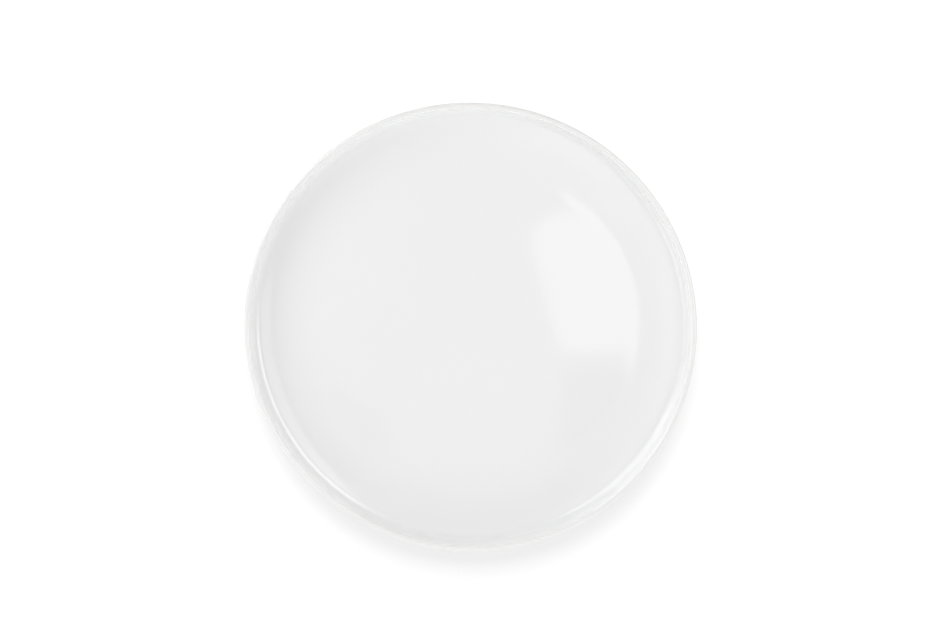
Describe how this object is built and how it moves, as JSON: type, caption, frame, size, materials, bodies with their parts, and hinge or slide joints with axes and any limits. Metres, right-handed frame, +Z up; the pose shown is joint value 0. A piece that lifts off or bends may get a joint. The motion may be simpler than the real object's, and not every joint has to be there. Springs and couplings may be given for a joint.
{
  "type": "flat plate",
  "caption": "Flat dinner plate in white glazed porcelain, with a flat well, a gently rising shoulder, a low upright wall with a rounded lip, and a bare foot ring underneath",
  "frame": {"origin": "centre of the plane that the foot ring stands on, with the plate lying flat", "axes": "+Z up along the plate's axis, out of the well; X and Y lie in the plane of the rim, and the plate is round, so any turn about Z looks the same"},
  "size_m": [0.27, 0.27, 0.024],
  "materials": {
    "biscuit": "matte",
    "glaze": "gloss"
  },
  "bodies": {
    "root": {"porcelain_body": "biscuit", "glaze_coat": "glaze", "foot_recess_glaze": "glaze"}
  },
  "joints": []
}
